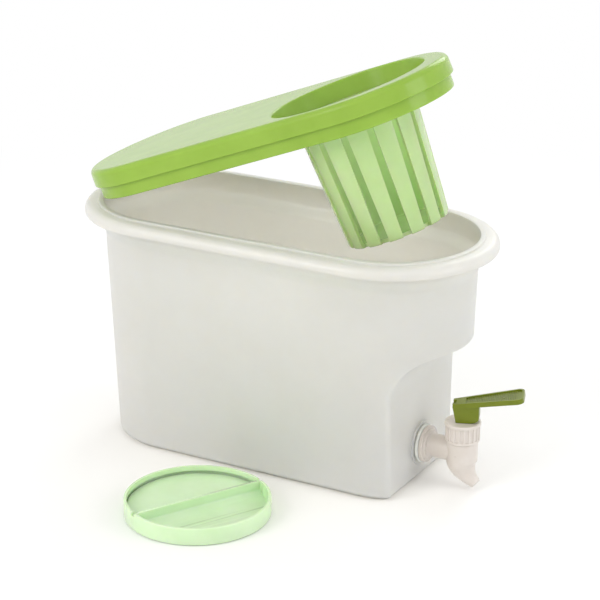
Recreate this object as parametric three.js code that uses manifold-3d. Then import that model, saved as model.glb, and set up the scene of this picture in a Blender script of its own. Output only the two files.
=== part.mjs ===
// A slim water dispenser for a fridge shelf: a translucent tub with a lever tap, a tray lid that
// carries an infuser basket, and the basket's round cover, which lies on the table beside the tub.
// Millimetres. +X points to the tap end, +Y to the far long side and +Z up. The origin is on the
// table, midway between the centres of the tub's two round ends.

import * as THREE from "three";
import { mergeVertices } from "three/addons/utils/BufferGeometryUtils.js";
import Module from "manifold-3d";

// Sizes that more than one piece follows

const seatGap = 0.3; // between a piece and what it rests on or is screwed against
const overrun = 1; // how far a cutter runs past the face that it cuts
const weld = 0.0001; // points closer than this are one point

// Tub

const endSpacing = 158; // between the centres of the two round ends
const tubHeight = 170; // table to the top of the lip
const tubWall = 2.4;
const baseRadius = 50.4; // outside of the round ends, at the base
const shoulderRadius = 56; // outside of the round ends, where the neck starts to widen
const shoulderDrop = 23; // from the top of the lip to where the neck starts to widen
const neckDrop = 13; // from the top of the lip to where the mouth is fully wide
const footHeight = 1.2;
const baseRound = 3.4;
const floorThickness = 2.6;
const mouthRadius = 57; // inside of the round ends, at the mouth
const brimRadius = 69.7;
const brimThickness = 2.2;
const brimRound = 5.4;
const brimDrop = 7.6; // from the brim's flat top to its lower edge
const lipHeight = 1.3; // the lip stands this far above the brim
const lipWidth = 3.6;
const lipRound = 0.6;

// The tap end is cut back to a flat face, which curves out again below the overhang.
const tapFace = 102;
const faceHeight = 70; // where the flat face starts to curve out
const faceCorner = 4.5;
const padRadius = 15;
const padHeight = 1.2;

// Lid

const lidTilt = 21.85; // degrees that the lid is raised
const lidVeer = 7.8; // degrees that it leans to the near side of the tub's length
const pivotReach = 75.6; // centre of the tub's back end to the line that the lid turns about
const pivotDrop = 5.8; // from the lid's lower face to that line
const plugClearance = 0.95;
const plugDepth = 8.8; // below the tub's lip
const plugRound = 0.9;
const lidWall = 2.2;
const lidRadius = 58.6; // outside of the round ends, where the lid lies on the lip
const lidDraft = 0.4; // the side draws in by this up to the shoulder
const lidRise = 12.2; // lower face to deck
const lidRound = 3.8; // shoulder between the side and the deck
const seatCentre = 68.6; // distance of the round seat from the tub's middle
const seatRadius = 49.5; // at the ledge
const seatFlare = 2.7; // the seat's wall leans out by this up to the deck
const seatRound = 1.2; // edge of the seat on the deck
const seatDepth = 14.2; // deck to ledge
const ledgeThickness = 2.2;
const ledgeClearance = 0.7; // between the ledge's hole and the basket

// Infuser basket

const basketTopRadius = 40.1; // outside, under the flange
const basketTaper = 5.8; // the radius is smaller by this at the floor
const basketDrop = 77.2; // below the lid's plug
const basketWall = 2.2;
const basketFloor = 2.4;
const basketRound = 1.6;
const flangeClearance = 0.7;
const flangeThickness = 2;
const flangeRound = 0.5;
const slotCount = 14;
const slotWidth = 4.6; // at the top
const slotFoot = 6.2; // width at the basket's floor
const slotStart = 1; // below the lid's plug
const slotBite = 4; // how far the slots run in under the basket's floor

// Basket cover

const coverX = 0;
const coverY = -120;
const coverTurn = 61.5; // degrees from +X to the ridge
const coverClearance = 1.3;
const coverHeight = 12;
const coverWall = 1.9;
const coverRound = 1.1;
const coverSheet = 2; // thickness of its floors
const plateauDrop = 3.4; // rim to the flat half
const ridgeRadius = 2.1;
const ridgeDrop = 0.7; // rim to the top of the ridge
const hollowDrop = 9.6; // rim to the lowest point of the finger hollow
const hollowRise = 6.4; // how far its floor climbs to the wall
const hollowToe = 11; // from the ridge to the lowest point
const notchWidth = 3.6;
const notchDepth = 2.2;

// Tap

const tapHeight = 25.4; // table to the axis of the shank
const tapReach = 30.5; // flat face of the tub to the axis of the valve
const shankRadius = 7.6;
const shankClearance = 0.4;
const shankLength = 12.4; // inside the tub
const shankBore = 4.4;
const washerRadius = 13.2;
const washerThickness = 2.2;
const flangeRadius = 12.6;
const tapFlangeThickness = 2.4;
const stepRadius = 10.6;
const stepThickness = 1.5;
const neckRadius = 8;
const lockNutRadius = 13;
const lockNutThickness = 5;
const lockNutChamfer = 0.8;

const barrelRadius = 10.4;
const barrelBase = 18.4; // table to where the spout leaves the barrel
const valveBore = 6.4;
const threadRadius = 8.9; // the barrel's neck, inside the bonnet nut
const valveSeatHeight = 17;
const valveSeatHole = 3.4;
const spoutReach = 10.6; // valve axis to the middle of the outlet
const spoutHeight = 3.8; // table to the middle of the outlet
const outletRadius = 3.5;
const outletBore = 2.4;

const nutHeight = 13.9;
const nutRadius = 11.6; // over the ribs
const nutCollarRadius = 12.2;
const nutCrown = 2.4; // thickness of its top
const nutCollar = 2.2; // smooth band above the ribs
const nutRim = 2; // smooth band below the ribs
const nutBevel = 0.8;
const nutRibs = 20;
const nutRibHeight = 0.7;
const nutClearance = 0.3;

// Valve and lever

const rodRadius = 2;
const rodClearance = 0.4;
const spigotRadius = 1.5;
const collarRadius = 4.6;
const collarThickness = 1.6;
const sealRadius = 5.3;
const sealThickness = 3;
const sealChamfer = 0.8;
const springRadius = 3.6; // middle of the wire
const springWire = 0.8;
const springTurns = 6;

const leverSwivel = 20; // degrees that the lever is turned from +X, away from the near side
const valveLift = 2.1; // how far a full press of the lever lifts the seal
const pressAngle = 25; // degrees
const pinHeight = 8.6; // lever's foot to the axis of the cross pin
const pinRadius = 1.5;
const pinClearance = 0.3;
const pinLength = 7.4;
const tangRadius = 3;
const tangThickness = 3.4;
const tangDepth = 4.4; // below the pin's axis
const leverWidth = 10.4;
const leverBack = 6.8; // pin's axis to the back of the block, at its top
const leverRear = 4.4; // pin's axis to the back of the foot
const leverFront = 10.8; // pin's axis to the front of the block
const leverReach = 39.6; // pin's axis to the tip
const armRise = 10.5; // degrees
const armTop = 5.6; // pin's axis to the arm's top surface, above it
const armThickness = 3.4;
const armTipWidth = 19.4;
const armTipRound = 4.2;
const trayBorder = 1.5;
const trayDepth = 0.9;
const trayStart = 8.4; // from the back of the arm
const forkGap = 4.2; // slot in the block for the stem's tang
const forkTop = 3.5; // pin's axis to the top of the slot
const forkFront = 3.6;
const forkMouth = 8; // the slot widens forward to this, at the foot
const forkNotch = 4.6; // pin's axis to the back of the plate over the slot

// Steps along curves

const roundSteps = 16; // a round end of the tub or lid, on its whole half circle
const endSteps = 7; // each quarter of the tap end, up to its corner
const cornerSteps = 3;
const endSplitShare = 0.27; // share of the quarter that the corner takes on a whole round end
const sweepSteps = 5;
const filletSteps = 3;
const shoulderSteps = 4; // of the lid
const ringSteps = 48;
const smallSteps = 24;
const footSteps = 7;
const turnSteps = 9; // of the spring, on each turn
const wireSteps = 3; // on each half of the spring's wire
const spoutSteps = 9; // along the spout
const spoutSides = 12; // round its bore
const pinSides = 16;
const plateSteps = 6; // on each curve of a flat piece

// Shapes drawn by hand, as shares of the sizes that they follow

const spoutShares = [[0.14, 0.33, 0.74], [0.48, 0.68, 0.34]]; // of the reach, drop and taper
const outletShares = [0.81, 0.59]; // of a run past the outlet, forward and down
const ribShares = [0, 0.44, 0.56, 0.88]; // corners of a groove and a rib, of their pitch
const toeShares = [[0, 0.28], [0.42, 0.06]]; // of the hollow's toe, along and up from it
const browShare = 0.7; // height of the lever's front corner below the pin, of its foot's
const cheekShare = 1.12; // the lever's foot is curved past a full press, by this much

// Places worked out from the sizes

const halfSpacing = endSpacing / 2;
const brimTop = tubHeight - lipHeight;
const lipOuter = mouthRadius + lipWidth;
const shoulderHeight = tubHeight - shoulderDrop;
const neckHeight = tubHeight - neckDrop;
const neckOuter = mouthRadius + tubWall;
const taper = (shoulderRadius - baseRadius) / shoulderHeight;
const overhang = (halfSpacing + baseRadius + taper * faceHeight - tapFace) / (1 - taper);

const plugRadius = mouthRadius - plugClearance;
const plugBottom = tubHeight - plugDepth;
const lidBase = tubHeight + seatGap;
const deckTop = lidBase + lidRise;
const ledgeTop = deckTop - seatDepth;
const ledgeHole = basketTopRadius + ledgeClearance;

const basketBottom = plugBottom - basketDrop;
const basketBottomRadius = basketTopRadius - basketTaper;
const flangeBase = ledgeTop + seatGap;
const coverRadius = seatRadius - coverClearance;
const coverInside = coverRadius - coverWall;

const valveX = tapFace + tapReach;
const nutBase = tapHeight + neckRadius + seatGap;
const innerFace = tapFace - tubWall;
const padFace = tapFace + padHeight;
const washerFace = padFace + seatGap;
const tapSeat = washerFace + washerThickness + seatGap;
const nutTop = nutBase + nutHeight;
const nutUnder = nutTop - nutCrown;
const barrelTop = nutUnder - seatGap;
const sealBase = valveSeatHeight + seatGap;
const collarBase = sealBase + sealThickness + seatGap;
const pinZ = nutTop + seatGap + pinHeight;
const liftPerRadian = valveLift / THREE.MathUtils.degToRad(pressAngle);

// Solids

const wasm = await Module();
wasm.setup();

// Turns a closed geometry into a solid. Triangles that have lost a side are left out.
function solid(geometry) {
  const bare = geometry.clone();
  bare.deleteAttribute("normal");
  bare.deleteAttribute("uv");
  const merged = mergeVertices(bare, weld);
  const corners = merged.index.array;
  const kept = [];
  for (let i = 0; i < corners.length; i += 3) {
    const [a, b, c] = corners.subarray(i, i + 3);
    if (a !== b && b !== c && c !== a) {
      kept.push(a, b, c);
    }
  }
  const mesh = new wasm.Mesh({
    numProp: 3,
    vertProperties: new Float32Array(merged.attributes.position.array),
    triVerts: new Uint32Array(kept),
  });
  return new wasm.Manifold(mesh);
}

function geometryOf(shape) {
  const mesh = shape.getMesh();
  const geometry = new THREE.BufferGeometry();
  geometry.setAttribute("position", new THREE.BufferAttribute(new Float32Array(mesh.vertProperties), 3));
  geometry.setIndex(new THREE.BufferAttribute(new Uint32Array(mesh.triVerts), 1));
  geometry.computeVertexNormals();
  return geometry;
}

function joined(first, ...others) {
  return others.reduce((whole, piece) => whole.add(piece), first);
}

function cut(first, ...others) {
  return others.reduce((whole, piece) => whole.subtract(piece), first);
}

// A solid through convex rings of equal length. Each ring runs counter-clockwise about the way
// that the outside is climbed, and the first and the last are closed.
function loft(rings) {
  const count = rings[0].length;
  const index = [];
  for (let k = 0; k + 1 < rings.length; k += 1) {
    for (let i = 0; i < count; i += 1) {
      const a = k * count + i;
      const b = k * count + ((i + 1) % count);
      index.push(a, b, b + count, a, b + count, a + count);
    }
  }
  const last = (rings.length - 1) * count;
  for (let i = 1; i + 1 < count; i += 1) {
    index.push(0, i + 1, i);
    index.push(last, last + i, last + i + 1);
  }
  const geometry = new THREE.BufferGeometry().setFromPoints(rings.flat());
  geometry.setIndex(index);
  return solid(geometry);
}

// A solid of revolution about +Z from points written as [radius, height].
function revolve(points, steps = ringSteps) {
  const profile = points.map(([radius, height]) => new THREE.Vector2(radius, height));
  return solid(new THREE.LatheGeometry(profile, steps).rotateX(Math.PI / 2));
}

// A plain cylinder about +Z between two heights.
function cylinder(radius, from, to, steps = ringSteps) {
  const body = new THREE.CylinderGeometry(radius, radius, to - from, steps);
  body.rotateX(Math.PI / 2);
  body.translate(0, 0, (from + to) / 2);
  return solid(body);
}

// Turns a solid built about +Z so that its axis lies along +X at the height of the tap.
function alongTap(shape) {
  return shape.rotate([0, 90, 0]).translate([0, 0, tapHeight]);
}

function polygon(points) {
  return new THREE.Shape(points.map(([x, y]) => new THREE.Vector2(x, y)));
}

// Points of a quarter turn, as [radius, height], from one angle in degrees to another.
function quarter(radius, height, round, from, to, steps = filletSteps) {
  const points = [];
  for (let i = 0; i <= steps; i += 1) {
    const angle = THREE.MathUtils.degToRad(from + ((to - from) * i) / steps);
    points.push([radius + round * Math.cos(angle), height + round * Math.sin(angle)]);
  }
  return points;
}

// Tub and lid outlines

// One ring of the tub's outline. Where face lies inside the tap end, the end is cut flat there
// with rounded corners. Otherwise it is a whole half circle.
function outline(radius, height, face = Infinity, corner = radius) {
  const points = [];
  const arc = (x, y, round, from, to, steps, first = 0) => {
    for (let i = first; i <= steps; i += 1) {
      const angle = from + ((to - from) * i) / steps;
      points.push(new THREE.Vector3(x + round * Math.cos(angle), y + round * Math.sin(angle), height));
    }
  };
  const right = Math.PI / 2;
  const whole = face >= halfSpacing + radius;
  const round = whole ? radius : corner;
  const cornerX = whole ? 0 : face - corner - halfSpacing;
  const cornerY = whole ? 0 : Math.sqrt((radius - corner) ** 2 - cornerX ** 2);
  const split = whole ? right * endSplitShare : Math.atan2(cornerY, cornerX);
  arc(-halfSpacing, 0, radius, right, 3 * right, roundSteps);
  arc(halfSpacing, 0, radius, -right, -split, endSteps);
  arc(halfSpacing + cornerX, -cornerY, round, -split, 0, cornerSteps, 1);
  arc(halfSpacing + cornerX, cornerY, round, 0, split, cornerSteps);
  arc(halfSpacing, 0, radius, split, right, endSteps, 1);
  return points;
}

function wallRadius(height) {
  return baseRadius + taper * height;
}

// Tub

// The flat face and the curve above it, for the outside (depth 0) or the inside (the wall).
function tapEndRings(depth) {
  const rings = [];
  const sweep = overhang + depth;
  const last = Math.acos(depth / sweep);
  for (let i = 0; i <= sweepSteps; i += 1) {
    const angle = (last * i) / sweepSteps;
    const height = faceHeight + sweep * Math.sin(angle);
    const face = tapFace + overhang - sweep * Math.cos(angle);
    rings.push(outline(wallRadius(height) - depth, height, face, faceCorner - depth));
  }
  const top = faceHeight + sweep * Math.sin(last);
  rings.push(outline(wallRadius(top) - depth, top));
  return rings;
}

// The foot and the rounded base edge, climbing from the table.
function baseRings() {
  const inset = (drawn, height) =>
    outline(wallRadius(height) - drawn, height, tapFace - drawn, faceCorner);
  const rings = [inset(baseRound, 0)];
  for (const [drawn, height] of quarter(baseRound, footHeight + baseRound, baseRound, 270, 180)) {
    rings.push(inset(drawn, height));
  }
  return rings;
}

// The neck widens in a soft step. wall is 0 for the outside and negative for the inside.
function neckRings(wall) {
  const rings = [];
  for (let i = 0; i <= filletSteps; i += 1) {
    const share = i / filletSteps;
    const eased = THREE.MathUtils.smoothstep(share, 0, 1);
    const radius = THREE.MathUtils.lerp(shoulderRadius, neckOuter, eased);
    const height = THREE.MathUtils.lerp(shoulderHeight, neckHeight, share);
    rings.push(outline(radius + wall, height));
  }
  return rings;
}

// The brim turns down at its edge and carries a low lip round the mouth.
function brimProfile() {
  const curlX = brimRadius - brimRound;
  const curlZ = brimTop - brimRound;
  const edge = brimTop - brimDrop;
  const half = brimThickness / 2;
  return [
    [neckOuter, brimTop - brimThickness],
    ...quarter(curlX, curlZ, brimRound - brimThickness, 90, 0),
    ...quarter(brimRadius - half, edge + half, half, 180, 360),
    ...quarter(curlX, curlZ, brimRound, 0, 90),
    [lipOuter, brimTop],
    ...quarter(lipOuter - lipRound, tubHeight - lipRound, lipRound, 0, 90, 1),
    ...quarter(mouthRadius + lipRound, tubHeight - lipRound, lipRound, 90, 180, 1),
  ];
}

// The inside of the base, descending to the floor.
function floorRings() {
  const floor = footHeight + floorThickness;
  const round = baseRound - seatGap;
  const rings = [];
  for (const [drawn, height] of quarter(round, floor + round, round, 180, 270)) {
    const inset = tubWall + drawn;
    rings.push(outline(wallRadius(height) - inset, height, tapFace - inset, faceCorner - tubWall));
  }
  return rings;
}

function makeTub() {
  const shell = loft([
    ...baseRings(),
    ...tapEndRings(0),
    ...neckRings(0),
    ...brimProfile().map(([radius, height]) => outline(radius, height)),
    ...neckRings(-tubWall).reverse(),
    ...tapEndRings(tubWall).reverse(),
    ...floorRings(),
  ]);
  const pad = alongTap(cylinder(padRadius, tapFace - tubWall / 2, padFace));
  const hole = alongTap(
    cylinder(shankRadius + shankClearance, innerFace - overrun, padFace + overrun, smallSteps),
  );
  return cut(joined(shell, pad), hole);
}

// Lid

// The lid's section from the middle of its underside, round the plug and the side, to the deck.
function lidProfile() {
  const inside = lidRadius - lidWall;
  const plugInside = plugRadius - lidWall;
  const step = lidBase + lidWall;
  return [
    [inside, deckTop - lidWall],
    [inside, step],
    [plugInside, step],
    [plugInside, plugBottom],
    ...quarter(plugRadius - plugRound, plugBottom + plugRound, plugRound, 270, 360, 1),
    [plugRadius, lidBase],
    [lidRadius, lidBase],
    ...quarter(lidRadius - lidDraft - lidRound, deckTop - lidRound, lidRound, 0, 90, shoulderSteps),
  ];
}

// The space inside the seat, from its ledge up through the deck.
function seatSpace() {
  const mouth = seatRadius + seatFlare;
  return revolve([
    [0, ledgeTop],
    [seatRadius, ledgeTop],
    ...quarter(mouth + seatRound, deckTop - seatRound, seatRound, 180, 90),
    [mouth + seatRound, deckTop + overrun],
    [0, deckTop + overrun],
  ]).translate([seatCentre, 0, 0]);
}

// The round well under the deck, whose ledge carries the basket's flange.
function seatWell() {
  const outer = seatRadius + lidWall;
  const bottom = ledgeTop - ledgeThickness;
  return revolve([
    [0, bottom],
    [outer - lidWall / 2, bottom],
    [outer, bottom + lidWall / 2],
    [outer + seatFlare, deckTop - lidWall / 2],
    [0, deckTop - lidWall / 2],
  ]).translate([seatCentre, 0, 0]);
}

function makeLid() {
  const tray = loft(lidProfile().map(([radius, height]) => outline(radius, height)));
  const hole = cylinder(ledgeHole, ledgeTop - ledgeThickness - overrun, deckTop);
  return cut(joined(tray, seatWell()), seatSpace(), hole.translate([seatCentre, 0, 0]));
}

// Infuser basket

function basketCup() {
  const flangeOuter = seatRadius - flangeClearance;
  const flangeTop = flangeBase + flangeThickness;
  const inside = basketTopRadius - basketWall;
  const floor = basketBottom + basketFloor;
  const low = basketBottomRadius - basketWall;
  return revolve([
    [0, basketBottom],
    [basketBottomRadius - basketRound, basketBottom],
    [basketBottomRadius, basketBottom + basketRound],
    [basketTopRadius, flangeBase],
    [flangeOuter, flangeBase],
    [flangeOuter, flangeTop - flangeRound],
    [flangeOuter - flangeRound, flangeTop],
    [inside + flangeRound, flangeTop],
    [inside, flangeTop - flangeRound],
    [low, floor + basketRound],
    [low - basketRound, floor],
    [0, floor],
  ]);
}

// One slot, towards +X: a square-topped opening that runs out through the edge of the floor.
function basketSlot() {
  const top = plugBottom - slotStart;
  const bottom = basketBottom - overrun;
  const inner = basketBottomRadius - slotBite;
  const outer = basketTopRadius + overrun;
  const body = new THREE.BoxGeometry(outer - inner, slotWidth, top - bottom);
  const corners = body.attributes.position;
  for (let i = 0; i < corners.count; i++) {
    if (corners.getZ(i) < 0) {
      corners.setY(i, (Math.sign(corners.getY(i)) * slotFoot) / 2);
    }
  }
  body.translate((outer + inner) / 2, 0, (top + bottom) / 2);
  return solid(body);
}

function makeBasket() {
  const slot = basketSlot();
  const slots = [];
  for (let i = 0; i < slotCount; i += 1) {
    slots.push(slot.rotate([0, 0, (i * 360) / slotCount]));
  }
  return cut(basketCup(), ...slots).translate([seatCentre, 0, 0]);
}

// Basket cover

// A bar along the ridge (+X) whose section is drawn in [across, height] and cut off by the wall.
function coverBar(section, inside = coverInside) {
  const shape = polygon(section);
  const length = 2 * coverRadius;
  const body = new THREE.ExtrudeGeometry(shape, { depth: length, bevelEnabled: false });
  body.translate(0, 0, -length / 2);
  body.rotateX(Math.PI / 2);
  body.rotateZ(Math.PI / 2);
  return solid(body).intersect(cylinder(inside, -overrun, coverHeight + overrun));
}

// The hollow's floor, from the ridge down to its toe and up to the wall.
function hollowFloor(lift) {
  const low = coverHeight - hollowDrop + lift;
  const points = toeShares.map(([along, up]) => [
    -ridgeRadius - hollowToe * along,
    low + hollowToe * up,
  ]);
  for (let i = 0; i <= sweepSteps; i += 1) {
    const share = i / sweepSteps;
    const across = THREE.MathUtils.lerp(hollowToe, coverRadius + overrun, share);
    points.push([-across, low + hollowRise * share ** 2]);
  }
  return points;
}

function coverBlank() {
  return revolve([
    [0, 0],
    [coverRadius - coverRound, 0],
    [coverRadius, coverRound],
    [coverRadius, coverHeight - coverRound / 2],
    [coverRadius - coverRound / 2, coverHeight],
    [0, coverHeight],
  ]);
}

function makeCover() {
  const above = coverHeight + overrun;
  const beyond = coverRadius + overrun;
  const plateau = coverHeight - plateauDrop;
  const flat = coverBar([[0, plateau], [beyond, plateau], [beyond, above], [0, above]]);
  const hollow = coverBar([...hollowFloor(0), [-beyond, above], [-ridgeRadius, above]]);
  const crest = coverHeight - ridgeDrop - ridgeRadius;
  const ridge = coverBar(
    [
      [ridgeRadius, plateau - coverSheet],
      ...quarter(0, crest, ridgeRadius, 0, 180, plateSteps),
      [-ridgeRadius, plateau - coverSheet],
    ],
    coverRadius - coverWall / 2,
  );
  const shelf = plateau - coverSheet;
  const underFlat = coverBar([
    [coverWall, -overrun],
    [beyond, -overrun],
    [beyond, shelf],
    [coverWall, shelf],
  ]);
  const undersides = hollowFloor(-coverSheet).slice(2).filter(([, height]) => height > 0);
  const first = undersides[0][0];
  const underHollow = coverBar([[first, -overrun], ...undersides, [-beyond, -overrun]].reverse());
  const bodyWithRidge = joined(cut(coverBlank(), flat, hollow), ridge);
  const notch = solid(new THREE.BoxGeometry(2 * beyond, notchWidth, notchDepth * 2));
  const rimOnly = cut(notch, cylinder(coverInside - coverWall, -coverHeight, coverHeight));
  return cut(bodyWithRidge, underFlat, underHollow, rimOnly.translate([0, 0, coverHeight]));
}

// Tap

// A tapering round tube through the given places, as [x, z, radius].
function taperedTube(places, sides = smallSteps, steps = spoutSteps) {
  const route = new THREE.CatmullRomCurve3(places.map(([x, z]) => new THREE.Vector3(x, 0, z)));
  const radii = new THREE.CatmullRomCurve3(places.map(([, , radius]) => new THREE.Vector3(radius, 0, 0)));
  const across = new THREE.Vector3(0, 1, 0);
  const rings = [];
  for (let k = 0; k <= steps; k += 1) {
    const centre = route.getPoint(k / steps);
    const forward = route.getTangent(k / steps);
    const side = new THREE.Vector3().crossVectors(across, forward);
    const radius = radii.getPoint(k / steps).x;
    const ring = [];
    for (let i = 0; i < sides; i += 1) {
      const angle = (2 * Math.PI * i) / sides;
      const point = centre.clone();
      point.addScaledVector(side, radius * Math.cos(angle));
      point.addScaledVector(across, radius * Math.sin(angle));
      ring.push(point);
    }
    rings.push(ring);
  }
  return loft(rings);
}

// The spout's route: down from the valve seat, then forward to the outlet.
function spoutPlaces(first, last, lead = 0) {
  const drop = barrelBase - spoutHeight;
  const [ahead, down] = outletShares;
  return [
    [valveX, barrelBase, first],
    ...spoutShares.map(([reach, fall, slim]) => [
      valveX + spoutReach * reach,
      barrelBase - drop * fall,
      THREE.MathUtils.lerp(last, first, slim),
    ]),
    [valveX + spoutReach + lead * ahead, spoutHeight - lead * down, last],
  ];
}

// Shank, two-step flange and neck, about the shank's axis.
function tapStem() {
  const inner = innerFace - shankLength;
  const flange = tapSeat + tapFlangeThickness;
  const step = flange + stepThickness;
  return alongTap(revolve([
    [0, inner],
    [shankRadius, inner],
    [shankRadius, tapSeat],
    [flangeRadius, tapSeat],
    [flangeRadius, flange],
    [stepRadius, flange],
    [stepRadius, step],
    [neckRadius, step],
    [neckRadius, valveX],
    [0, valveX],
  ], smallSteps));
}

function tapBarrel() {
  const shoulder = nutBase - seatGap;
  return revolve([
    [0, barrelBase],
    [barrelRadius, barrelBase],
    [barrelRadius, shoulder],
    [threadRadius, shoulder],
    [threadRadius, barrelTop],
    [0, barrelTop],
  ], smallSteps).translate([valveX, 0, 0]);
}

function makeTapBody() {
  const spout = taperedTube(spoutPlaces(barrelRadius, outletRadius));
  const body = joined(tapStem(), tapBarrel(), spout);
  const water = alongTap(cylinder(shankBore, innerFace - shankLength - overrun, valveX, smallSteps));
  const chamber = cylinder(valveBore, valveSeatHeight, barrelTop + overrun, smallSteps);
  const under = valveSeatHeight - 2 * overrun;
  const throat = cylinder(valveSeatHole, under, valveSeatHeight + overrun, smallSteps);
  const drain = taperedTube(spoutPlaces(valveSeatHole, outletBore, overrun), spoutSides);
  return cut(
    body,
    water,
    chamber.translate([valveX, 0, 0]),
    throat.translate([valveX, 0, 0]),
    drain,
  );
}

function makeOuterWasher() {
  return alongTap(cut(
    cylinder(washerRadius, washerFace, washerFace + washerThickness, smallSteps),
    cylinder(shankRadius + shankClearance, washerFace - overrun, tapSeat + overrun, smallSteps),
  ));
}

function makeInnerWasher() {
  const from = innerFace - seatGap - washerThickness;
  return alongTap(cut(
    cylinder(washerRadius, from, from + washerThickness, smallSteps),
    cylinder(shankRadius + shankClearance, from - overrun, from + washerThickness + overrun, smallSteps),
  ));
}

function makeLockNut() {
  const to = innerFace - washerThickness - 2 * seatGap;
  const from = to - lockNutThickness;
  const hexagon = cylinder(lockNutRadius, from, to, 6);
  const round = revolve([
    [0, from - lockNutChamfer],
    [lockNutRadius - 2 * lockNutChamfer, from - lockNutChamfer],
    [lockNutRadius + lockNutChamfer, from + lockNutChamfer],
    [lockNutRadius + lockNutChamfer, to],
    [0, to],
  ], smallSteps);
  const bore = cylinder(shankRadius + shankClearance, from - overrun, to + overrun, smallSteps);
  return alongTap(cut(hexagon.intersect(round), bore));
}

// Bonnet nut

// The grip: straight ribs between the nut's rim and its collar.
function ribbedBand(from, to) {
  const points = [];
  const inner = nutRadius - nutRibHeight;
  for (let i = 0; i < nutRibs; i += 1) {
    ribShares.forEach((share, corner) => {
      const radius = corner < 2 ? inner : nutRadius;
      const angle = (2 * Math.PI * (i + share)) / nutRibs;
      points.push(new THREE.Vector2(radius * Math.cos(angle), radius * Math.sin(angle)));
    });
  }
  const body = new THREE.ExtrudeGeometry(new THREE.Shape(points), { depth: to - from, bevelEnabled: false });
  body.translate(0, 0, from);
  return solid(body);
}

function makeBonnetNut() {
  const inner = nutRadius - nutRibHeight;
  const ribsFrom = nutBase + nutRim;
  const ribsTo = nutTop - nutCollar;
  const cap = revolve([
    [0, nutBase],
    [nutRadius - nutBevel, nutBase],
    [nutRadius, nutBase + nutBevel],
    [nutRadius, ribsFrom],
    [inner, ribsFrom],
    [inner, ribsTo],
    [nutCollarRadius, ribsTo],
    [nutCollarRadius, nutTop - nutBevel],
    [nutCollarRadius - nutBevel, nutTop],
    [0, nutTop],
  ], 2 * nutRibs);
  const thread = cylinder(threadRadius + nutClearance, nutBase - overrun, nutUnder);
  const hole = cylinder(rodRadius + rodClearance, nutUnder - overrun, nutTop + overrun, smallSteps);
  return cut(joined(cap, ribbedBand(ribsFrom, ribsTo)), thread, hole).translate([valveX, 0, 0]);
}

// Valve

// A flat plate across Y whose outline is drawn in x and z from the cross pin's axis.
function plate(shape, width, curveSegments = plateSteps) {
  const body = new THREE.ExtrudeGeometry(shape, { depth: width, bevelEnabled: false, curveSegments });
  body.translate(0, 0, -width / 2);
  body.rotateX(Math.PI / 2);
  return solid(body).translate([0, 0, pinZ]);
}

function crossPin(radius, length) {
  const pin = cylinder(radius, -length / 2, length / 2, pinSides);
  return pin.rotate([90, 0, 0]).translate([0, 0, pinZ]);
}

function makeStem() {
  const rod = revolve([
    [0, sealBase],
    [spigotRadius, sealBase],
    [spigotRadius, collarBase],
    [collarRadius, collarBase],
    [collarRadius, collarBase + collarThickness],
    [rodRadius, collarBase + collarThickness],
    [rodRadius, pinZ - tangDepth / 2],
    [0, pinZ - tangDepth / 2],
  ], pinSides);
  const tang = new THREE.Shape();
  tang.moveTo(-tangRadius, -tangDepth);
  tang.lineTo(tangRadius, -tangDepth);
  tang.lineTo(tangRadius, 0);
  tang.absarc(0, 0, tangRadius, 0, Math.PI, false);
  tang.lineTo(-tangRadius, -tangDepth);
  return joined(rod, plate(tang, tangThickness), crossPin(pinRadius, pinLength));
}

function makeSeal() {
  const top = sealBase + sealThickness;
  const hole = spigotRadius + rodClearance;
  return revolve([
    [hole, sealBase],
    [sealRadius - sealChamfer, sealBase],
    [sealRadius, sealBase + sealChamfer],
    [sealRadius, top],
    [hole, top],
    [hole, sealBase],
  ], smallSteps);
}

class Helix extends THREE.Curve {
  constructor(radius, rise, turns) {
    super();
    Object.assign(this, { radius, rise, turns });
  }

  getPoint(t, target = new THREE.Vector3()) {
    const angle = 2 * Math.PI * this.turns * t;
    return target.set(this.radius * Math.cos(angle), this.radius * Math.sin(angle), this.rise * t);
  }
}

// The closing spring, between the stem's collar and the bonnet nut.
function makeSpring() {
  const from = collarBase + collarThickness + seatGap + springWire / 2;
  const to = nutUnder - seatGap - springWire / 2;
  const section = new THREE.Shape();
  section.absarc(0, 0, springWire / 2, 0, 2 * Math.PI, false);
  const extrudePath = new Helix(springRadius, to - from, springTurns);
  const steps = turnSteps * springTurns;
  const curveSegments = wireSteps;
  const drawn = { steps, extrudePath, bevelEnabled: false, curveSegments };
  return solid(new THREE.ExtrudeGeometry(section, drawn)).translate([0, 0, from]);
}

// Lever

// The foot's lower edge. Past the flat it is the involute of a circle, so that the bonnet nut
// lifts the pin in step with the lever's angle.
function footEdge() {
  const points = [];
  const last = THREE.MathUtils.degToRad(pressAngle * cheekShare);
  for (let i = 0; i <= footSteps; i += 1) {
    const angle = (last * i) / footSteps;
    const drop = pinHeight + liftPerRadian * angle;
    const x = drop * Math.sin(angle) + liftPerRadian * Math.cos(angle);
    const z = liftPerRadian * Math.sin(angle) - drop * Math.cos(angle);
    points.push([x, z]);
  }
  return points;
}

function leverBlock() {
  const slope = Math.tan(THREE.MathUtils.degToRad(armRise));
  const topAt = (x) => armTop + x * slope - armThickness / 2;
  return plate(polygon([
    [-leverRear, -pinHeight],
    ...footEdge(),
    [leverFront, -pinHeight * browShare],
    [leverFront, topAt(leverFront)],
    [-leverBack, topAt(-leverBack)],
  ]), leverWidth);
}

// The arm's outline from above: it widens from its root to a rounded tip.
function armOutline(start, end, root, tip, round) {
  const shape = new THREE.Shape();
  shape.moveTo(start, -root / 2);
  shape.lineTo(end - round, -tip / 2);
  shape.absarc(end - round, -tip / 2 + round, round, -Math.PI / 2, 0, false);
  shape.absarc(end - round, tip / 2 - round, round, 0, Math.PI / 2, false);
  shape.lineTo(start, root / 2);
  return shape;
}

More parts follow.
